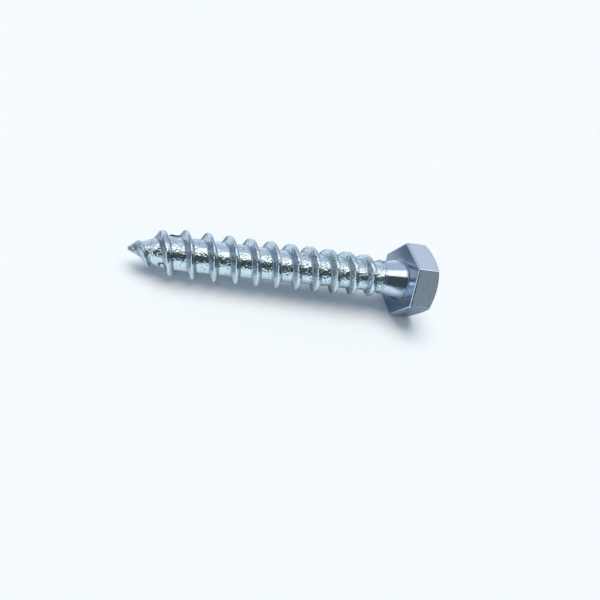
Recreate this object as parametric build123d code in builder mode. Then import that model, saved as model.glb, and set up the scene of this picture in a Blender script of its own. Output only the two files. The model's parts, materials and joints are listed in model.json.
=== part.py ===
"""Lag screw: a hexagon-headed wood screw with a coarse tapering thread and a gimlet point.

One piece of steel. It is modelled along X, point towards -X, with the origin where its axis meets the
bearing face under the head. It is then tipped by a few degrees, so that it lies as it comes to rest on a
level surface: on the lower flat of the head and on a crest of the thread near the point.
Lengths are in millimetres and angles in degrees. A station is a distance along the axis from the bearing
face, counted towards the point.
"""

import os
from math import atan, ceil, degrees, pi, radians, sin, tan

from build123d import *

# Head
across_flats = 12.75
head_height = 5.4
crown_diameter = 11.0
crown_chamfer_angle = 30
crown_edge_radius = 1.0
head_corner_radius = 0.25
bearing_edge_radius = 0.2

# Shank, from the bearing face to the point
length_under_head = 50.0
shank_diameter = 7.9
shank_taper_length = 5.2
core_diameter = 5.6
under_head_fillet = 0.3

# Point
point_angle = 50
point_blend_radius = 7.0
nose_diameter = 0.6
nose_edge_radius = 0.2

# Thread, right-handed: its flank towards the head is steeper than the one towards the point
major_diameter = 8.1
pitch = 3.7
point_flank_angle = 30
head_flank_angle = 22
crest_width_at_point = 0.25
crest_width_at_head = 0.8
thread_end_station = 3.9
start_angle = 160
climb_turns = 1.0
shoulder_turns = 1.7
full_turns = 2.4
shoulder_share = 0.72
shallow_turns = 2.0
shallow_crest_drop = 0.3
runout_turns = 0.55
first_crest_sink = 0.05
root_overlap = 0.3
sections_per_turn = 12

core_radius = core_diameter / 2
shank_radius = shank_diameter / 2
nose_radius = nose_diameter / 2
crown_radius = crown_diameter / 2
half_point_slope = tan(radians(point_angle / 2))
point_station = length_under_head - (core_radius - nose_radius) / half_point_slope
thread_start_station = length_under_head - nose_edge_radius
thread_turns = (thread_start_station - thread_end_station) / pitch


def core_radius_at(station):
    """Radius of the plain core under the thread: the shank's taper, the even core, then the point."""
    taper = shank_radius + (core_radius - shank_radius) * station / shank_taper_length
    point = nose_radius + (length_under_head - station) * half_point_slope
    return max(taper, min(core_radius, point))


def crest_radius_at(station):
    """Radius of the crest: it climbs the point, stays low over its shoulder, runs full, and then runs out."""
    from_start = (thread_start_station - station) / pitch
    from_end = (station - thread_end_station) / pitch
    climb = sin(pi / 2 * min(1, from_start / climb_turns))
    filled = min(1, max(0, (from_start - shoulder_turns) / (full_turns - shoulder_turns)))
    rise = climb * (shoulder_share + (1 - shoulder_share) * filled)
    runout = sin(pi / 2 * min(1, from_end / runout_turns))
    shallow_drop = shallow_crest_drop * max(0, 1 - from_end / shallow_turns)
    full_height = major_diameter / 2 - shallow_drop - core_radius
    return core_radius_at(station) + (full_height + first_crest_sink) * rise * runout - first_crest_sink


def half_crest_at(station):
    """Half the width of the crest, which grows from the point to the head as the rolled blank thickens."""
    share = (thread_start_station - station) / (thread_start_station - thread_end_station)
    return (crest_width_at_point + (crest_width_at_head - crest_width_at_point) * share) / 2


def rest_tilt():
    """Angle between the axis and the surface it lies on, set by the first crest to come down on it."""
    first_low_turn = (start_angle - 180) / 360 % 1
    low_turns = [first_low_turn + turn for turn in range(int(thread_turns - first_low_turn))]
    tilts = []
    for turns in low_turns:
        station = thread_start_station - turns * pitch
        tilts.append(degrees(atan((across_flats / 2 - crest_radius_at(station)) / station)))
    return min(tilts)


upright = Plane(origin=(0, 0, 0), x_dir=(-1, 0, 0), z_dir=(0, 1, 0))
bearing_plane = Plane(origin=(0, 0, 0), x_dir=(0, 1, 0), z_dir=(1, 0, 0))

with BuildPart() as straight_screw:
    # Head: a hexagon with its corners to the sides, chamfered round its crown
    with BuildSketch(bearing_plane):
        RegularPolygon(across_flats / 2, side_count=6, major_radius=False)
    extrude(amount=head_height)
    fillet(straight_screw.edges().filter_by(Axis.X), head_corner_radius)
    with BuildSketch(upright):
        with BuildLine():
            crown_outline = FilletPolyline(
                (-head_height, 0),
                (-head_height, crown_radius),
                (0, crown_radius + head_height / tan(radians(crown_chamfer_angle))),
                radius=[crown_edge_radius],
            )
            Polyline(crown_outline @ 1, (0, 0), crown_outline @ 0)
        make_face()
    revolve(axis=Axis.X, mode=Mode.INTERSECT)
    fillet(straight_screw.faces().sort_by(Axis.X)[0].edges(), bearing_edge_radius)

    # Plain shank, core and point, turned about the axis
    with BuildSketch(upright):
        with BuildLine():
            core_outline = FilletPolyline(
                (0, shank_radius),
                (shank_taper_length, core_radius),
                (point_station, core_radius),
                (length_under_head, nose_radius),
                (length_under_head, 0),
                radius=[0, point_blend_radius, nose_edge_radius],
            )
            Polyline(core_outline @ 1, (0, 0), core_outline @ 0)
        make_face()
    revolve(axis=Axis.X)
    under_head_corner = straight_screw.edges().filter_by(GeomType.CIRCLE).filter_by_position(
        Axis.X, 0, 0
    )
    fillet(under_head_corner.sort_by(SortBy.LENGTH)[-1], under_head_fillet)

    # Thread: one loft for each turn, through sections that share their last and first outline
    loft_count = ceil(thread_turns)
    for loft_number in range(loft_count):
        for section_number in range(sections_per_turn + 1):
            share = (loft_number + section_number / sections_per_turn) / loft_count
            station = thread_start_station - share * thread_turns * pitch
            section_angle = start_angle - share * thread_turns * 360
            crest = crest_radius_at(station)
            root = core_radius_at(station) - min(root_overlap, core_radius_at(station) / 2)
            half_crest = half_crest_at(station)
            point_side = half_crest + (crest - root) * tan(radians(point_flank_angle))
            head_side = half_crest + (crest - root) * tan(radians(head_flank_angle))
            with BuildSketch(upright.rotated((-section_angle, 0, 0))):
                with BuildLine():
                    Polyline(
                        (station - head_side, root),
                        (station - half_crest, crest),
                        (station + half_crest, crest),
                        (station + point_side, root),
                        close=True,
                    )
                make_face()
        loft()

# The screw is laid down, point lowest
with BuildPart() as lag_screw:
    add(straight_screw.part, rotation=(0, -rest_tilt(), 0))

lag_screw.part.label = "lag_screw"
os.makedirs("parts", exist_ok=True)
export_step(lag_screw.part, "parts/lag_screw.step")
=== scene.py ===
"""Looks of the lag screw: bright zinc-plated steel on a pale studio floor.

The screw is one closed mesh in rings and helical rows. Its lengths are in millimetres, like the part's, and
it goes into the scene in metres, on the part's own axis. A station is a distance along the axis from the
bearing face under the head, counted towards the point. An angle is counted round the axis from the top.
"""

import json
from math import ceil, cos, pi, radians, sin, tan

import bpy
import numpy as np
from mathutils import Matrix, Vector


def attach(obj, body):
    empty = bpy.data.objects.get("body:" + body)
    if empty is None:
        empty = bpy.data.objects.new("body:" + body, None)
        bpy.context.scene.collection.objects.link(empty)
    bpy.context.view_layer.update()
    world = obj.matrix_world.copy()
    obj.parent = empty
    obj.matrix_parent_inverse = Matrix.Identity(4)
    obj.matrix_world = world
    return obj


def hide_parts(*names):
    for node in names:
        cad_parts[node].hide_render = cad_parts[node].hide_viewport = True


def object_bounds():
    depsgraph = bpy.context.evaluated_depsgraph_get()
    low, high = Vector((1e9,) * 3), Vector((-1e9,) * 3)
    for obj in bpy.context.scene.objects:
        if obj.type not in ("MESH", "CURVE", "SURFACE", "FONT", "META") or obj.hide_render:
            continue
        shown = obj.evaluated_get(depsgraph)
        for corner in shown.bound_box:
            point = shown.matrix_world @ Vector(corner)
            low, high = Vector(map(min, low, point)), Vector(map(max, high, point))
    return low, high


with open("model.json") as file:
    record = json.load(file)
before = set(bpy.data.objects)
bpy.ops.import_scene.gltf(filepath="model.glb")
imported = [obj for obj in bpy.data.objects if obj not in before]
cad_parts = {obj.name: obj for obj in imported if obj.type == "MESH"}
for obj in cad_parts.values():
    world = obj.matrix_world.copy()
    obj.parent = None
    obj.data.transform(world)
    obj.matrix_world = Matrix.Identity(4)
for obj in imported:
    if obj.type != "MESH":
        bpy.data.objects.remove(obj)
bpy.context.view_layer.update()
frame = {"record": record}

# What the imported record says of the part: its axis, its head's height and its width across flats
mounts = {mount["name"]: mount for mount in frame["record"]["mounts"]}
bearing_centre = Vector(mounts["bearing_face"]["pos_m"])
towards_head = -Vector(mounts["bearing_face"]["axis"]).normalized()
upper_flat = Vector(mounts["upper_flat"]["pos_m"])
lower_flat = Vector(mounts["lower_flat"]["pos_m"])
up = (upper_flat - lower_flat).normalized()
MM_PER_METRE = 1000

# Clearances that keep the mesh inside the part's box
HEAD_INSET = 0.005
CREST_INSET = 0.015

# Head and shank, as in the part
HEAD_HEIGHT = MM_PER_METRE * (Vector(mounts["head_top"]["pos_m"]) - bearing_centre).length - HEAD_INSET
APOTHEM = MM_PER_METRE * (upper_flat - lower_flat).length / 2
SIDE_ANGLE = pi / 3
CROWN_RADIUS = 5.5
CHAMFER_SLOPE = tan(radians(30))
LENGTH = 50.0
NECK_RADIUS = 3.95
NECK_LENGTH = 5.2
NECK_FILLET = 0.3
CORE_RADIUS = 2.8
POINT_HALF_ANGLE = radians(25)
NOSE_RADIUS = 0.3
NOSE_EDGE_RADIUS = 0.2

# Thread, as in the part
CREST_RADIUS = 4.05
PITCH = 3.7
POINT_FLANK_SLOPE = tan(radians(30))
HEAD_FLANK_SLOPE = tan(radians(22))
THREAD_START = LENGTH - NOSE_EDGE_RADIUS
THREAD_END = 3.9
START_ANGLE = 160
CLIMB_TURNS = 1.0
SHOULDER_TURNS = 1.7
FULL_TURNS = 2.4
SHOULDER_SHARE = 0.72
SHALLOW_TURNS = 2.0
SHALLOW_DROP = 0.3
RUNOUT_TURNS = 0.55
CREST_SINK = 0.05
CREST_WIDTH_AT_HEAD = 0.8

# Edges and crests that differ from the part's. A blend is the height over which two surfaces melt together
CORNER_RADIUS = 0.4
BEARING_EDGE_RADIUS = 0.3
CHAMFER_EDGE_REACH = 0.22
CROWN_EDGE_REACH = 0.26
CROWN_BLEND = 0.14
POINT_BLEND = 0.68
ROOT_BLEND = 0.16
CREST_BLEND_AT_POINT = 0.05
CREST_BLEND_AT_HEAD = 0.21
CREST_WIDTH_AT_POINT = 0.16

# Spread first turn at the nose, and the folded crest over the shoulder of the point
START_SPREAD = 1.0
FOLD_TURNS = 1.4
FOLD_REACH_TURNS = 0.8
FOLD_WIDTH = 0.5
FOLD_DEPTH = 0.14
FOLD_HALF_GAP = 0.12

# The fine raised line where the rolled length ends
ROLL_LINE_STATION = 4.22
ROLL_LINE_HEIGHT = 0.1
ROLL_LINE_WIDTH = 0.08

# Pits and wider dents of the rolled core, with the least and most of their sizes and of their depths for
# that size. One pit in three stands out as a lump. They fade out at the neck and at the smooth nose
SEED = 7
PIT_COUNT = 1500
PIT_SIZES = 0.14, 0.38
PIT_DEPTHS = 0.05, 0.2
LUMP_HEIGHT = 0.6
DENT_COUNT = 90
DENT_SIZES = 0.4, 0.75
DENT_DEPTHS = 0.04, 0.10
NECK_FADE = 0.3
SMOOTH_NOSE = 3.0
SMOOTH_NOSE_FADE = 2.0

# Dark flaws by the point: a raised lap on top, a fold below, and the lips of the pinched nose
FLAW_DEPTH = 0.06
OVAL_BOWLS = 16
LAP_BOWLS = 9
LAP_STATION = 42.85
LAP_HALF_LENGTH = 0.75
LAP_ANGLE = 26
LAP_BEND = 8
LAP_HEIGHT = 0.16
LAP_SIZE = 0.28
LAP_END_GROWTH = 0.14

# Zones of finish and of painted shade, which are attributes of the vertices: rolled and pitted, matte,
# painted shade under the head, painted shade at the foot of a flank, and flawed
ZONES = ("rolled", "matte", "under", "painted_shade", "flaw")
# The nose's finish includes some painted shade; the fillet gets only painted shade
NOSE_FINISH_AND_SHADE = {"rolled": 0.3, "matte": 1.0, "painted_shade": 0.3}
FILLET_PAINTED_SHADE = {"painted_shade": 0.95}
FLAT_MATTE = 1.0
FLAT_SHARE = 0.85
CORNER_MATTE = 0.2
EDGE_MATTE = 0.3
CHAMFER_MATTE = 0.6
CROWN_MATTE = 0.8
ROLLED_AT_POINT = 0.75
ROLLED_AT_HEAD = 1.35
ROLLED_LEAST = 0.1
WORN_NOSE = 3.4
WORN_NOSE_FADE = 1.2
# Reach and fade of the painted shade at the end of the nose
DARK_NOSE = 1.5
DARK_NOSE_FADE = 0.8

# Painted shade and finish of the thread: painted shade at the foot, on the flank towards the head and on
# half of the crest, and a dull flank towards the point. Fades are the heights over the core, and then below
# the crest, over which it sets in
FOOT_SHADE_REACH = 0.3
CREST_SHADE = 0.65
FLANK_WEAR = 0.35
CREST_FADES = 0.3, 0.15
HEAD_FLANK_FADES = 0.2, 0.3
POINT_FLANK_FADES = 0.3, 0.2

# The ridge has shallower pits and less of the rolled finish than the core, but less so towards the head
RIDGE_FADE = 0.3
RIDGE_PIT_LOSS = 0.75
RIDGE_ROLLED_LOSS = 0.7
RIDGE_LOSS_AT_HEAD = 0.8

# Mesh. The helical rows end in two closing rings: one at the nose, one on the neck
COLUMNS = 180
CREST_ROWS = 3
FLANK_ROWS = 5
ROOT_ROWS = 16
ROWS_PER_PITCH = 2 * CREST_ROWS + 2 * FLANK_ROWS + ROOT_ROWS
SPARE_CRESTS = 2
NOSE_STATION = LENGTH - NOSE_EDGE_RADIUS + NOSE_EDGE_RADIUS * sin(POINT_HALF_ANGLE)
NECK_STATION = 6.6
CLOSING_GAP = 0.01
NECK_RINGS = 60
NEAR_LINE = 0.3
NEAR_LINE_RINGS = 18
CLEAR_OF_LINE = 1.1 * NEAR_LINE
FILLET_RINGS = 5
CROWN_EDGE_RINGS = 5
STRAIGHT_SHARE = 0.8
FOOT_STEPS = 4
PLACES_AT_ONCE = 2000

random = np.random.default_rng(SEED)
column_turn = np.arange(COLUMNS) / COLUMNS
column_angle = np.radians(START_ANGLE - 360 * column_turn)


# Radius of the core and of the thread on it
def share_of(value, reach):
    """Share from 0 to 1 that a value is of its reach."""
    return np.clip(value / reach, 0, 1)


def soft_max(first, second, blend):
    share = np.clip(0.5 + 0.5 * (first - second) / blend, 0, 1)
    return second + (first - second) * share + blend * share * (1 - share)


def soft_min(first, second, blend):
    return -soft_max(-first, -second, blend)


def core_at(station):
    """Radius of the plain core: the neck's taper, the even core, then the point."""
    neck = NECK_RADIUS + (CORE_RADIUS - NECK_RADIUS) * station / NECK_LENGTH
    cone = NOSE_RADIUS + (LENGTH - station) * tan(POINT_HALF_ANGLE)
    return np.maximum(neck, soft_min(CORE_RADIUS, cone, POINT_BLEND))


def turns_from_start(station):
    return (THREAD_START - station) / PITCH


def ridge_height_at(station):
    """Height of the crest over the core, for a crest at this station."""
    from_start = turns_from_start(station)
    from_end = (station - THREAD_END) / PITCH
    climb = np.sin(pi / 2 * share_of(from_start, CLIMB_TURNS))
    filled = share_of(from_start - SHOULDER_TURNS, FULL_TURNS - SHOULDER_TURNS)
    rise = climb * (SHOULDER_SHARE + (1 - SHOULDER_SHARE) * filled)
    runout = np.sin(pi / 2 * share_of(from_end, RUNOUT_TURNS))
    drop = SHALLOW_DROP * (1 - share_of(from_end, SHALLOW_TURNS))
    full_height = CREST_RADIUS - CREST_INSET - CORE_RADIUS - drop
    return (full_height + CREST_SINK) * rise * runout - CREST_SINK


def head_share_at(station):
    """How far along the thread a station is, from 0 at the point to 1 at the head."""
    return share_of(THREAD_START - station, THREAD_START - THREAD_END)


def fold_at(station):
    """How far the crest is spread and folded, over the shoulder of the point, where it isn't filled."""
    return 1 - share_of(np.abs(turns_from_start(station) - FOLD_TURNS), FOLD_REACH_TURNS)


def half_crest_at(station):
    width = CREST_WIDTH_AT_POINT + (CREST_WIDTH_AT_HEAD - CREST_WIDTH_AT_POINT) * head_share_at(station)
    return (width + FOLD_WIDTH * fold_at(station)) / 2


def crest_blend_at(station):
    return CREST_BLEND_AT_POINT + (CREST_BLEND_AT_HEAD - CREST_BLEND_AT_POINT) * head_share_at(station)


def point_flank_at(station):
    """Slope of the flank towards the point, which is spread out where the thread starts at the nose."""
    spread = START_SPREAD * (1 - share_of(turns_from_start(station), CLIMB_TURNS))
    return POINT_FLANK_SLOPE * (1 + spread)


def foot_distance(crest_station, side):
    """How far from the crest's middle its flank meets the core, towards the point (1) or the head (-1).
    The core's radius depends on that distance in turn, so it is found in a few steps."""
    crest = core_at(crest_station) + ridge_height_at(crest_station)
    slope = point_flank_at(crest_station) if side > 0 else HEAD_FLANK_SLOPE
    distance = half_crest_at(crest_station)
    for _ in range(FOOT_STEPS):
        rise = np.maximum(crest - core_at(crest_station + side * distance), 0)
        distance = half_crest_at(crest_station) + rise * slope
    return distance


def ridge_radius(station, crest_station):
    """Radius of the thread's own outline at a station, for the crest at crest_station."""
    crest = core_at(crest_station) + ridge_height_at(crest_station)
    offset = station - crest_station
    away = np.abs(offset) - half_crest_at(crest_station)
    slope = np.where(offset > 0, point_flank_at(crest_station), HEAD_FLANK_SLOPE)
    outline = soft_min(crest, crest - away / slope, crest_blend_at(crest_station))
    fold = FOLD_DEPTH * fold_at(crest_station) * (1 - share_of(np.abs(offset), FOLD_HALF_GAP))
    inside = (crest_station <= THREAD_START) & (crest_station >= THREAD_END)
    return np.where(inside, outline - fold, 0)


def on_flank(height, below_crest, fades):
    """Share from 0 to 1 of a flank's finish, at a height over the core and a depth below the crest."""
    return share_of(height, fades[0]) * share_of(below_crest, fades[1])


def on_crest(height, below_crest, fades):
    """Share from 0 to 1 of the crest's finish, likewise."""
    return share_of(height, fades[0]) * (1 - share_of(below_crest, fades[1]))


def threaded_surface(station, angle):
    """The threaded length without pits and flaws: its radius, the radius of its ridge, its share of painted
    shade (on the flank towards the head and the half of the crest beside it) and how dull (on the flank
    towards the point). A place right on the middle of a crest counts with either half, as rounding has it."""
    phase = ((radians(START_ANGLE) - angle) / (2 * pi)) % 1
    number = np.floor(turns_from_start(station) - phase)
    crest = THREAD_START - PITCH * (phase + number)
    next_crest = crest - PITCH
    core = core_at(station)
    behind = ridge_radius(station, crest)
    ahead = ridge_radius(station, next_crest)
    ridge = np.maximum(behind, ahead)

    height = behind - core
    below_crest = ridge_height_at(crest) - height
    # Painted shade on half of the crest and on the flank towards the head
    crest_shade = CREST_SHADE * on_crest(height, below_crest, CREST_FADES)
    flank_shade = np.maximum(on_flank(height, below_crest, HEAD_FLANK_FADES), crest_shade)
    next_height = ahead - core
    below_next = ridge_height_at(next_crest) - next_height
    dull = FLANK_WEAR * on_flank(next_height, below_next, POINT_FLANK_FADES)
    return soft_max(core, ridge, ROOT_BLEND), ridge, flank_shade, dull


# Pits and flaws. They are bowls, given as their stations, angles, sizes and depths
pitted_length = THREAD_END, LENGTH - SMOOTH_NOSE
pit_station = random.uniform(*pitted_length, PIT_COUNT)
pit_angle = random.uniform(0, 2 * pi, PIT_COUNT)
pit_size = random.uniform(*PIT_SIZES, PIT_COUNT)
pit_depth = pit_size * random.uniform(*PIT_DEPTHS, PIT_COUNT)
pit_depth = pit_depth * random.choice([1, 1, -LUMP_HEIGHT], PIT_COUNT)
dent_size = random.uniform(*DENT_SIZES, DENT_COUNT)
pits = (
    np.append(pit_station, random.uniform(*pitted_length, DENT_COUNT)),
    np.append(pit_angle, random.uniform(0, 2 * pi, DENT_COUNT)),
    np.append(pit_size, dent_size),
    np.append(pit_depth, dent_size * random.uniform(*DENT_DEPTHS, DENT_COUNT)),
)


def bowl_oval(station, degrees, half_length, half_degrees, size):
    """Bowls pressed in round an oval."""
    place = np.linspace(0, 2 * pi, OVAL_BOWLS, endpoint=False)
    return (
        station + half_length * np.cos(place),
        np.radians(degrees + half_degrees * np.sin(place)),
        np.full(OVAL_BOWLS, size),
        np.full(OVAL_BOWLS, FLAW_DEPTH),
    )


lap_place = np.linspace(-1, 1, LAP_BOWLS)
lap = (
    LAP_STATION + LAP_HALF_LENGTH * lap_place,
    np.radians(LAP_ANGLE + LAP_BEND * lap_place**2),
    LAP_SIZE + LAP_END_GROWTH * lap_place**2,
    np.full(LAP_BOWLS, -LAP_HEIGHT),
)
fold_below = bowl_oval(station=44.5, degrees=-106, half_length=0.6, half_degrees=14, size=0.28)
nose_lips = bowl_oval(station=49.25, degrees=-50, half_length=0.45, half_degrees=28, size=0.15)
flaws = np.hstack([lap, fold_below, nose_lips])


def bowls_at(station, angle, radius, bowls):
    """Depth of these bowls at each of these places. The places are arrays of one shape."""
    depth = np.zeros(station.size)
    place_station, place_angle, place_radius = station.ravel(), angle.ravel(), radius.ravel()
    bowl_station, bowl_angle, bowl_size, bowl_depth = bowls
    for first in range(0, len(depth), PLACES_AT_ONCE):
        part = slice(first, first + PLACES_AT_ONCE)
        along = place_station[part, None] - bowl_station[None, :]
        round_axis = (place_angle[part, None] - bowl_angle[None, :] + pi) % (2 * pi) - pi
        distance = np.hypot(along, round_axis * place_radius[part, None]) / bowl_size[None, :]
        depth[part] = (np.clip(1 - distance**2, 0, 1) ** 2 * bowl_depth[None, :]).sum(axis=1)
    return depth.reshape(station.shape)


def near_nose(station, reach, fade):
    """Share that sets in at this reach from the end of the nose and is full one fade further on."""
    return share_of(station - LENGTH + reach, fade)


def dressed(station, angle):
    """Radius of the threaded length with its pits and flaws, and its share of each zone of finish.
    Stations and angles are arrays of one shape."""
    plain, ridge, flank_shade, dull = threaded_surface(station, angle)
    core = core_at(station)
    head_share = head_share_at(station)
    on_ridge = np.clip((ridge - core) / RIDGE_FADE + 0.5, 0, 1) * (1 - RIDGE_LOSS_AT_HEAD * head_share)
    past_line = share_of(station - ROLL_LINE_STATION, NECK_FADE)
    pitted = past_line * (1 - near_nose(station, SMOOTH_NOSE, SMOOTH_NOSE_FADE))
    flaw = bowls_at(station, angle, core, flaws)
    depth = bowls_at(station, angle, core, pits) + flaw

    rolled = pitted * (1 - RIDGE_ROLLED_LOSS * on_ridge)
    rolled = rolled * (ROLLED_AT_POINT + (ROLLED_AT_HEAD - ROLLED_AT_POINT) * head_share)
    # Painted shade in the crease at the foot of each flank, and on the flanks and crests as above
    painted_shade = np.maximum(1 - share_of(np.abs(ridge - core), FOOT_SHADE_REACH), flank_shade)
    # Painted shade at the end of the nose
    dark_nose = NOSE_FINISH_AND_SHADE["painted_shade"] * near_nose(station, DARK_NOSE, DARK_NOSE_FADE)
    shares = {
        "rolled": np.maximum(rolled, ROLLED_LEAST),
        "matte": np.maximum(near_nose(station, WORN_NOSE, WORN_NOSE_FADE), dull),
        "painted_shade": np.maximum(painted_shade, dark_nose),
        "flaw": share_of(np.abs(flaw), FLAW_DEPTH),
    }
    return plain - depth * pitted * (1 - RIDGE_PIT_LOSS * on_ridge), shares


# Vertices and faces
vertices = []
zones = {zone: [] for zone in ZONES}
faces = []


def circle_point(angle, radius):
    return (radius * sin(angle), radius * cos(angle))


def between(first, second, share):
    return tuple(a + (b - a) * share for a, b in zip(first, second))


def add_point(height, point, **shares):
    """A vertex at a height over the bearing face. shares are how much it belongs to each zone of finish."""
    vertices.append((height, *point))
    for zone, values in zones.items():
        values.append(shares.get(zone, 0.0))
    return len(vertices) - 1


def add_round_ring(height, radius, **shares):
    """A ring of vertices of one radius and one finish."""
    return [add_point(height, circle_point(angle, radius), **shares) for angle in column_angle]


def add_dressed_ring(station, line_height=0.0):
    """A ring of vertices on the threaded length, raised by the line where the rolled length ends."""
    ring = []
    ring_radii, ring_shares = dressed(np.full(COLUMNS, station), column_angle)
    for column, angle in enumerate(column_angle):
        shares = {zone: values[column] for zone, values in ring_shares.items()}
        point = circle_point(angle, ring_radii[column] + line_height)
        ring.append(add_point(-station, point, **shares))
    return ring


def add_face(corners):
    """A face without its repeated corners, unless too few are left."""
    kept = [corner for place, corner in enumerate(corners) if corner != corners[place - 1]]
    if len(set(kept)) == len(kept) and len(kept) >= 3:
        faces.append(kept)


def join_rings(rings):
    """Faces from each ring to the next one. A ring can be one vertex, repeated for each column."""
    for first, second in zip(rings, rings[1:]):
        for column in range(COLUMNS):
            following = (column + 1) % COLUMNS
            add_face([first[column], first[following], second[following], second[column]])


# Threaded length: for each column, rows from before its first crest to past its last
crest_numbers = np.arange(ceil(turns_from_start(NECK_STATION)) + 2 * SPARE_CRESTS)


def stations_from_crest(crest):
    """Stations of the rows from one crest to the next one towards the head."""
    crest_edge = half_crest_at(crest)
    head_foot = foot_distance(crest, -1)
    next_point_foot = PITCH - foot_distance(crest - PITCH, 1)
    next_crest_edge = PITCH - half_crest_at(crest - PITCH)
    steps = (
        (0, crest_edge, CREST_ROWS),
        (crest_edge, head_foot, FLANK_ROWS),
        (head_foot, next_point_foot, ROOT_ROWS),
        (next_point_foot, next_crest_edge, FLANK_ROWS),
        (next_crest_edge, PITCH, CREST_ROWS),
    )
    return crest - np.concatenate([np.linspace(*step, endpoint=False) for step in steps])


def stations_of_column(turn):
    """Stations of all rows of the column that is this part of a turn from the start of the thread."""
    crests = THREAD_START - PITCH * (turn + crest_numbers - SPARE_CRESTS)
    return np.concatenate([stations_from_crest(crest) for crest in crests])


stations = np.array([stations_of_column(turn) for turn in column_turn])
radii, row_shares = dressed(stations, np.repeat(column_angle[:, None], stations.shape[1], axis=1))

nose_ring = add_round_ring(-NOSE_STATION, core_at(NOSE_STATION), **NOSE_FINISH_AND_SHADE)
neck_ring = add_dressed_ring(NECK_STATION)
grid = np.zeros(stations.shape, int)
for (column, row), station in np.ndenumerate(stations):
    if station >= NOSE_STATION - CLOSING_GAP:
        grid[column, row] = nose_ring[column]
    elif station <= NECK_STATION + CLOSING_GAP:
        grid[column, row] = neck_ring[column]
    else:
        shares = {zone: values[column, row] for zone, values in row_shares.items()}
        point = circle_point(column_angle[column], radii[column, row])
        grid[column, row] = add_point(-station, point, **shares)

# Each column is joined to the next, and the last one to the first, a pitch further on
next_columns = np.vstack([grid[1:, :-ROWS_PER_PITCH], grid[:1, ROWS_PER_PITCH:]])
for own, beside in zip(grid, next_columns):
    for row in range(len(beside) - 1):
        add_face([own[row], beside[row], beside[row + 1], own[row + 1]])

# Nose: its middle, and the round of its edge up to the first ring of the rows
rings = [[add_point(-LENGTH, (0, 0), **NOSE_FINISH_AND_SHADE)] * COLUMNS]
edge_centre = NOSE_RADIUS - NOSE_EDGE_RADIUS * (1 - sin(POINT_HALF_ANGLE)) / cos(POINT_HALF_ANGLE)
for share in (0.0, 0.25, 0.5, 0.75):
    turned = (pi / 2 - POINT_HALF_ANGLE) * share
    station = LENGTH - NOSE_EDGE_RADIUS + NOSE_EDGE_RADIUS * cos(turned)
    rings.append(add_round_ring(-station, edge_centre + NOSE_EDGE_RADIUS * sin(turned), **NOSE_FINISH_AND_SHADE))
join_rings([*rings, nose_ring])

# Neck: past the end of the thread and the roll line, which has closer rings, to the fillet under the head
rings = [neck_ring]
near_line = np.linspace(ROLL_LINE_STATION + NEAR_LINE, ROLL_LINE_STATION - NEAR_LINE, NEAR_LINE_RINGS)
plain_neck = np.linspace(NECK_STATION, NECK_FILLET, NECK_RINGS)[1:]
plain_neck = plain_neck[np.abs(plain_neck - ROLL_LINE_STATION) > CLEAR_OF_LINE]
for station in -np.sort(-np.concatenate([plain_neck, near_line])):
    off_line = (station - ROLL_LINE_STATION) / ROLL_LINE_WIDTH
    rings.append(add_dressed_ring(station, ROLL_LINE_HEIGHT * np.exp(-(off_line**2))))
fillet_foot = float(core_at(NECK_FILLET))
# The fillet's rings are darkened with painted shade, as in a corner
for share in np.linspace(0, 1, FILLET_RINGS + 1)[1:]:
    turned = pi / 2 * share
    height = -NECK_FILLET * (1 - sin(turned))
    radius = fillet_foot + NECK_FILLET * (1 - cos(turned))
    rings.append(add_round_ring(height, radius, **FILLET_PAINTED_SHADE))
neck_edge = fillet_foot + NECK_FILLET


# Head, a hexagon with its corners to the sides
def off_side(angle):
    """The middle angle of the side that an angle meets, and how far the angle is past it, from -1 to 1."""
    middle = round(angle / SIDE_ANGLE) * SIDE_ANGLE
    return middle, (angle - middle) / (SIDE_ANGLE / 2)


def hexagon_point(angle, inset):
    """Point of the rounded hexagon for the column at this angle. The columns are drawn to its corners."""
    middle, past_middle = off_side(angle)
    share = abs(past_middle)
    inner = APOTHEM - inset - CORNER_RADIUS
    turned = SIDE_ANGLE / 2 * max(0, share - STRAIGHT_SHARE) / (1 - STRAIGHT_SHARE)
    across = inner + CORNER_RADIUS * cos(turned)
    along = inner * tan(SIDE_ANGLE / 2) * min(1, share / STRAIGHT_SHARE) + CORNER_RADIUS * sin(turned)
    along = along if past_middle >= 0 else -along
    return (
        across * sin(middle) + along * cos(middle),
        across * cos(middle) - along * sin(middle),
    )


def crown_height(radius):
    """Height of the crown and its chamfer at a distance from the axis."""
    chamfer = HEAD_HEIGHT - (radius - CROWN_RADIUS) * CHAMFER_SLOPE
    return float(soft_min(HEAD_HEIGHT, chamfer, CROWN_BLEND))


# Bearing face, darkened with painted shade, and the round of its outer edge
for share in (0.03, 0.2, 0.4, 0.6, 0.8, 0.97, 1.0):
    ring = []
    for angle in column_angle:
        outer = hexagon_point(angle, BEARING_EDGE_RADIUS)
        ring.append(add_point(0, between(circle_point(angle, neck_edge), outer, share), under=1.0))
    rings.append(ring)
for share in (0.25, 0.5, 0.75, 1.0):
    turned = pi / 2 * share
    inset = BEARING_EDGE_RADIUS * (1 - sin(turned))
    height = BEARING_EDGE_RADIUS * (1 - cos(turned))
    rings.append([add_point(height, hexagon_point(angle, inset)) for angle in column_angle])

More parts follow.
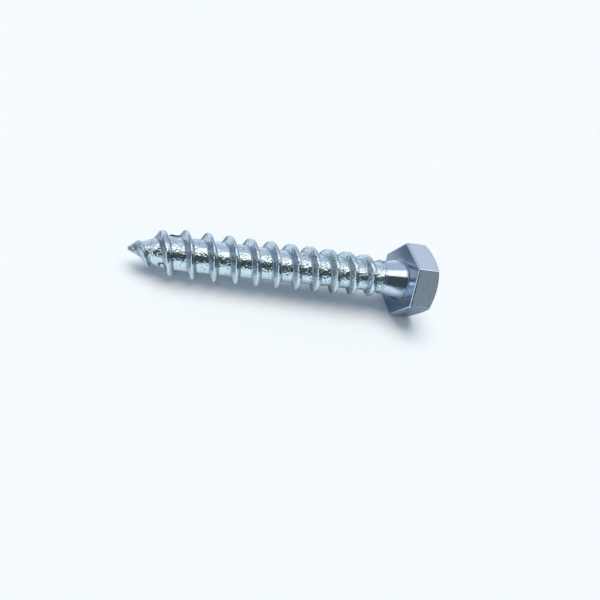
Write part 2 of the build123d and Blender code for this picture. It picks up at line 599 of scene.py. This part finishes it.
# Flats up to the chamfer's edge, and the round of that edge
side_points = [hexagon_point(angle, 0) for angle in column_angle]
side_radii = [np.hypot(*point) for point in side_points]
edge_heights = [crown_height(radius) for radius in side_radii]
past_middles = [abs(off_side(angle)[1]) for angle in column_angle]
side_matte = [FLAT_MATTE if past_middle < FLAT_SHARE else CORNER_MATTE for past_middle in past_middles]
for share in (0.02, 0.2, 0.4, 0.6, 0.8, 0.98, 1.0):
    ring = []
    for point, edge, matte in zip(side_points, edge_heights, side_matte):
        height = BEARING_EDGE_RADIUS + (edge - CHAMFER_EDGE_REACH - BEARING_EDGE_RADIUS) * share
        ring.append(add_point(height, point, matte=matte))
    rings.append(ring)
for share in (0.2, 0.4, 0.6, 0.8, 1.0):
    ring = []
    for point, radius, edge in zip(side_points, side_radii, edge_heights):
        start = (radius, edge - CHAMFER_EDGE_REACH)
        corner = (radius, edge)
        end = (radius - CHAMFER_EDGE_REACH, crown_height(radius - CHAMFER_EDGE_REACH))
        round_radius, height = between(between(start, corner, share), between(corner, end, share), share)
        ring.append(add_point(height, between((0, 0), point, round_radius / radius), matte=EDGE_MATTE))
    rings.append(ring)

# Chamfer, crown edge and crown
for share in (0.05, 0.35, 0.7, 1.0):
    ring = []
    for angle, point, radius in zip(column_angle, side_points, side_radii):
        outer = between((0, 0), point, (radius - CHAMFER_EDGE_REACH) / radius)
        place = between(outer, circle_point(angle, CROWN_RADIUS + CROWN_EDGE_REACH), share)
        ring.append(add_point(crown_height(np.hypot(*place)), place, matte=CHAMFER_MATTE))
    rings.append(ring)
for offset in np.linspace(CROWN_EDGE_REACH, -CROWN_EDGE_REACH, CROWN_EDGE_RINGS + 1)[1:]:
    radius = CROWN_RADIUS + offset
    rings.append(add_round_ring(crown_height(radius), radius, matte=CHAMFER_MATTE))
for radius in (5.0, 4.5, 3.8, 3.0, 2.0, 1.0):
    rings.append(add_round_ring(HEAD_HEIGHT, radius, matte=CROWN_MATTE))
rings.append([add_point(HEAD_HEIGHT, (0, 0), matte=CROWN_MATTE)] * COLUMNS)
join_rings(rings)

# From the part's own axes, in millimetres, to the shared frame
side_way = up.cross(towards_head)
turn = Matrix((towards_head, side_way, up)).transposed().to_4x4()
on_screw = Matrix.Translation(bearing_centre) @ turn
placed = on_screw @ Matrix.Scale(1 / MM_PER_METRE, 4)
mesh = bpy.data.meshes.new("lag_screw_zinc")
mesh.from_pydata([placed @ Vector(vertex) for vertex in vertices], [], faces)
mesh.validate()
mesh.shade_smooth()
for zone, values in zones.items():
    attribute = mesh.attributes.new(zone, "FLOAT", "POINT")
    attribute.data.foreach_set("value", np.array(values, np.float32))
screw = bpy.data.objects.new("lag_screw_zinc", mesh)
bpy.context.scene.collection.objects.link(screw)
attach(screw, "root")
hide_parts("lag_screw")


# Materials
class Nodes:
    """Short names for making and joining the nodes of one tree."""

    def __init__(self, tree):
        self.tree = tree
        tree.nodes.clear()

    def set(self, socket, value):
        """Link a socket to another one, or give it its own number or colour."""
        if isinstance(value, bpy.types.NodeSocket):
            self.tree.links.new(value, socket)
        else:
            socket.default_value = (*value, 1) if isinstance(value, tuple) else value

    def add(self, kind, inputs=None, **settings):
        node = self.tree.nodes.new(kind)
        for name, value in settings.items():
            setattr(node, name, value)
        for name, value in (inputs or {}).items():
            self.set(node.inputs[name], value)
        return node

    def math(self, operation, first, second, clamp=False):
        node = self.add("ShaderNodeMath", {0: first, 1: second}, operation=operation, use_clamp=clamp)
        return node.outputs[0]

    def plus(self, first, second):
        return self.math("ADD", first, second)

    def minus(self, first, second, clamp=False):
        return self.math("SUBTRACT", first, second, clamp)

    def times(self, first, second, clamp=False):
        return self.math("MULTIPLY", first, second, clamp)

    def rise(self, value, start, slope):
        """0 up to the start, and from there up to 1. A negative slope rises the other way."""
        return self.times(self.minus(value, start), slope, clamp=True)

    def ramp(self, value, stops):
        """Colours, or numbers for stops that have a number instead of a colour."""
        node = self.add("ShaderNodeValToRGB", {0: value})
        elements = node.color_ramp.elements
        while len(elements) < len(stops):
            elements.new(0.5)
        for element, (place, _) in zip(elements, stops):
            element.position = place
        for element, (_, color) in zip(elements, stops):
            element.color = (*color, 1) if isinstance(color, tuple) else (color, color, color, 1)
        return node.outputs[0]

    def noise(self, place, scale, detail):
        node = self.add("ShaderNodeTexNoise", {"Vector": place, "Scale": scale, "Detail": detail})
        return node.outputs[0]

    def zone(self, name):
        return self.add("ShaderNodeAttribute", attribute_name=name).outputs["Fac"]

    def mix(self, share, first, second):
        """Mix of two colours, which are inputs 6 and 7 and output 2 of the node."""
        return self.add("ShaderNodeMix", {0: share, 6: first, 7: second}, data_type="RGBA").outputs[2]

    def mix_shaders(self, share, first, second):
        return self.add("ShaderNodeMixShader", {0: share, 1: first, 2: second}).outputs[0]

    def background(self, color, strength):
        return self.add("ShaderNodeBackground", {"Color": color, "Strength": strength}).outputs[0]


def new_material(name):
    material = bpy.data.materials.new(name)
    material.use_nodes = True
    return material, Nodes(material.node_tree)


# Zinc: bluish and cloudy, with the colour of each zone laid over it, painted shade among them
FORGED_COLORS = (0.56, 0.685, 0.82), (0.66, 0.765, 0.88)
ROLLED_COLORS = (0.63, 0.80, 0.90), (0.70, 0.87, 0.96)
# Painted shade under the head, where the bearing face mirrors shade
BEARING_FACE_PAINTED_SHADE = (0.24, 0.32, 0.44)
# Painted shade at the feet of the flanks, on the flanks towards the head, on half of each crest, in the
# fillet and at the nose
PAINTED_SHADE_COLOR = (0.12, 0.19, 0.24)
SPECK_COLOR = (0.13, 0.19, 0.23)
STREAK_COLOR = (0.10, 0.12, 0.14)
FLAW_COLOR = (0.03, 0.04, 0.05)
RELIEF_METRES = 0.00005


def zinc_material():
    material, nodes = new_material("zinc_plated_steel")
    place = nodes.add("ShaderNodeTexCoord").outputs["Object"]
    rolled, matte, under, painted_shade, flaw = [nodes.zone(name) for name in ZONES]
    cloud = nodes.noise(place, scale=350.0, detail=4.0)
    patches = nodes.times(nodes.minus(nodes.noise(place, scale=700.0, detail=2.0), 0.5), 1.2)
    lumps = nodes.noise(place, scale=2300.0, detail=2.0)
    dents = nodes.noise(place, scale=4200.0, detail=1.0)
    grain = nodes.noise(place, scale=5200.0, detail=3.0)
    cells = nodes.add("ShaderNodeTexVoronoi", {"Vector": place, "Scale": 2400.0}, feature="SMOOTH_F1")

    # The painted shade at the foot of the flanks is broken up by patches. The rolled surface has specks and
    # dull streaks
    broken = nodes.times(nodes.times(patches, 5.0, clamp=True), rolled)
    painted_shade = nodes.times(painted_shade, nodes.minus(1.0, nodes.times(broken, 0.6)))
    speck = nodes.plus(nodes.minus(dents, 0.62), nodes.times(patches, 0.5))
    speck = nodes.times(nodes.times(speck, 14.0, clamp=True), rolled)
    streak = nodes.times(nodes.times(nodes.rise(grain, start=0.5, slope=8.0), rolled), matte)

    color = nodes.mix(cloud, *FORGED_COLORS)
    color = nodes.mix(rolled, color, nodes.mix(cloud, *ROLLED_COLORS))
    for share, own_color in (
        (nodes.times(under, 0.75), BEARING_FACE_PAINTED_SHADE),
        (nodes.times(painted_shade, 0.75), PAINTED_SHADE_COLOR),
        (nodes.times(speck, 0.7), SPECK_COLOR),
        (streak, STREAK_COLOR),
        (flaw, FLAW_COLOR),
    ):
        color = nodes.mix(share, color, own_color)

    roughness = nodes.plus(nodes.times(cloud, 0.10), 0.04)
    for zone, rougher in ((matte, 0.18), (painted_shade, 0.25), (under, 0.10), (rolled, 0.05)):
        roughness = nodes.plus(roughness, nodes.times(zone, rougher))
    metallic = nodes.minus(nodes.minus(1.0, nodes.times(matte, 0.36)), flaw, clamp=True)
    specular = nodes.times(nodes.minus(1.0, flaw), 0.5)

    relief = nodes.times(grain, 0.10)
    for pattern, zone, height in (
        (cells.outputs["Distance"], rolled, 1.4),
        (lumps, rolled, 1.6),
        (dents, rolled, 0.7),
        (grain, matte, 0.15),
    ):
        relief = nodes.plus(relief, nodes.times(pattern, nodes.times(zone, height)))
    bump = nodes.add("ShaderNodeBump", {"Strength": 1.0, "Distance": RELIEF_METRES, "Height": relief})
    shader = nodes.add(
        "ShaderNodeBsdfPrincipled",
        {
            "Base Color": color,
            "Metallic": metallic,
            "Roughness": roughness,
            "Specular IOR Level": specular,
            "Normal": bump.outputs[0],
        },
    )
    nodes.add("ShaderNodeOutputMaterial", {"Surface": shader.outputs[0]})
    return material


mesh.materials.append(zinc_material())

# Floor, plain and pale. The bright steel mirrors it, so it has painted dark fields, standing in for shade,
# that only its reflections show
BACKDROP = (0.913, 0.965, 1.0)
REFLECTED_SHADE_COLOR = (0.10, 0.14, 0.19)
FLOOR_REACH = 1.5


def floor_material():
    material, nodes = new_material("floor")
    place = nodes.add("ShaderNodeTexCoord").outputs["Object"]
    x, y, _ = nodes.add("ShaderNodeSeparateXYZ", {0: place}).outputs
    glossy_ray = nodes.add("ShaderNodeLightPath").outputs["Is Glossy Ray"]

    # Painted shade that only reflections show: fields by the camera, far to the left, in a strip under and
    # behind the screw, and by its head
    by_camera = nodes.rise(y, start=-0.065, slope=-70.0)
    far_left = nodes.rise(nodes.minus(nodes.times(y, 0.6), x), start=0.056, slope=120.0)
    far_left = nodes.times(far_left, nodes.rise(y, start=0.026, slope=-150.0))
    strip = nodes.ramp(
        nodes.times(nodes.plus(y, 0.005), 20.0),
        [(0.06, 0.0), (0.09, 0.75), (0.26, 0.4), (0.38, 0.95), (0.50, 0.95), (0.60, 0.0)],
    )
    strip = nodes.times(strip, nodes.rise(x, start=-0.055, slope=100.0))
    paler_by_head = nodes.times(nodes.rise(x, start=-0.0095, slope=300.0), 0.65)
    strip = nodes.times(strip, nodes.minus(0.9, paler_by_head))
    shade_by_head = nodes.times(nodes.rise(x, start=0.001, slope=400.0), nodes.rise(x, start=0.02, slope=-200.0))
    dark_share = by_camera
    for field in (far_left, strip, nodes.times(shade_by_head, 0.9)):
        dark_share = nodes.math("MAXIMUM", dark_share, field)
    # The fields' painted shade, for reflections only
    color = nodes.mix(nodes.times(dark_share, glossy_ray), BACKDROP, REFLECTED_SHADE_COLOR)

    # Painted light: left of the head, the floor glows for reflections, so that they show it mostly without
    # the screw's own shadow
    shaded = nodes.add("ShaderNodeBsdfDiffuse", {"Color": color}).outputs[0]
    clear = nodes.add("ShaderNodeEmission", {"Color": color, "Strength": 0.95}).outputs[0]
    floor_glow_share = nodes.times(nodes.rise(x, start=-0.014, slope=-60.0), 0.7)
    surface = nodes.mix_shaders(nodes.times(floor_glow_share, glossy_ray), shaded, clear)
    nodes.add("ShaderNodeOutputMaterial", {"Surface": surface})
    return material


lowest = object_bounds()[0][2]
floor_mesh = bpy.data.meshes.new("floor")
floor_corners = [(x * FLOOR_REACH, y * FLOOR_REACH, 0) for x, y in ((-1, -1), (1, -1), (1, 1), (-1, 1))]
floor_mesh.from_pydata(floor_corners, [], [(0, 1, 2, 3)])
floor_mesh.materials.append(floor_material())
floor = bpy.data.objects.new("floor", floor_mesh)
floor.location = (0, 0, lowest)
bpy.context.scene.collection.objects.link(floor)

# World: an even pale light, and for reflections a room with a bright ceiling and a dark side by the camera
WORLD_SHARE = 0.36
EVEN_COLOR = (0.90, 0.97, 1.10)
PALE = (0.66, 0.74, 0.84)
OLIVE = (0.045, 0.059, 0.056)
BRIGHT = (1.15, 1.05, 0.98)
LAVENDER = (0.43, 0.45, 0.52)
DUSK = (0.06, 0.08, 0.09)
GLARE = (2.0, 2.1, 2.2)
ROOM_STRENGTH = 1.35

# Colours of the room by degrees over the horizon, up the camera's side, over the top and down the back
ROOM_COLORS = (
    (-8, PALE),
    (-2, OLIVE),
    (56, OLIVE),
    (62, BRIGHT),
    (90, BRIGHT),
    (98, LAVENDER),
    (150, LAVENDER),
    (176, PALE),
)
world = bpy.data.worlds.new("studio")
bpy.context.scene.world = world
world.use_nodes = True
sky = Nodes(world.node_tree)
way = sky.add("ShaderNodeTexCoord").outputs["Generated"]
to_right, to_back, upward = sky.add("ShaderNodeSeparateXYZ", {0: way}).outputs
height_angle = sky.math("ARCTAN2", upward, sky.times(to_back, -1.0))
from_below = sky.math("MODULO", sky.plus(height_angle, 5 * pi / 2), 2 * pi)
room_stops = [((degrees_up + 90) / 360, color) for degrees_up, color in ROOM_COLORS]
room = sky.ramp(sky.math("DIVIDE", from_below, 2 * pi), room_stops)

# The room's end beyond the point is dim, with a strip of glare low on the camera's side
end = sky.ramp(upward, [(0.0, DUSK), (0.40, DUSK), (0.46, BRIGHT), (0.6, LAVENDER)])
strip_height = sky.ramp(upward, [(0.04, 0.0), (0.06, 1.0), (0.18, 1.0), (0.20, 0.0)])
strip_share = sky.times(strip_height, sky.rise(to_back, start=-0.3, slope=-10.0))
end = sky.mix(strip_share, end, GLARE)
room = sky.mix(sky.rise(to_right, start=-0.65, slope=-8.0), room, end)

paths = sky.add("ShaderNodeLightPath")
even = sky.background(EVEN_COLOR, WORLD_SHARE)
unseen = sky.mix_shaders(paths.outputs["Is Glossy Ray"], even, sky.background(room, ROOM_STRENGTH))
seen = sky.mix_shaders(paths.outputs["Is Camera Ray"], unseen, sky.background(BACKDROP, 1.0))
sky.add("ShaderNodeOutputWorld", {"Surface": seen})

# One soft lamp from above and behind, which throws the shadow and adds what the even light leaves out
lamp = bpy.data.lights.new("soft_lamp", "SUN")
lamp.angle = radians(50)
lamp.color = [(1 - WORLD_SHARE * value) / (1 - WORLD_SHARE) for value in EVEN_COLOR]
lamp_way = Vector((-0.05, 0.22, 0.97)).normalized()
lamp.energy = (1 - WORLD_SHARE) * pi / lamp_way.z
lamp_object = bpy.data.objects.new("soft_lamp", lamp)
lamp_object.rotation_euler = lamp_way.to_track_quat("Z", "Y").to_euler()
lamp_object.visible_glossy = False
bpy.context.scene.collection.objects.link(lamp_object)

# Camera, placed and turned on the screw's own axes
CAMERA_PLACE = Vector((-0.05189, -0.06399, 0.05749))
CAMERA_AZIMUTH = radians(-28.17)
CAMERA_ELEVATION = radians(42.19)
CAMERA_ROLL = radians(25.06)
camera = bpy.data.cameras.new("camera")
camera.lens = 30.38
camera.sensor_width = 36
camera.clip_start = 0.005
camera_turn = (
    Matrix.Rotation(CAMERA_AZIMUTH, 4, "Z")
    @ Matrix.Rotation(pi / 2 - CAMERA_ELEVATION, 4, "X")
    @ Matrix.Rotation(CAMERA_ROLL, 4, "Z")
)
camera_object = bpy.data.objects.new("camera", camera)
camera_object.matrix_world = on_screw @ Matrix.Translation(CAMERA_PLACE) @ camera_turn
bpy.context.scene.collection.objects.link(camera_object)
bpy.context.scene.camera = camera_object
bpy.context.scene.view_settings.view_transform = "Standard"
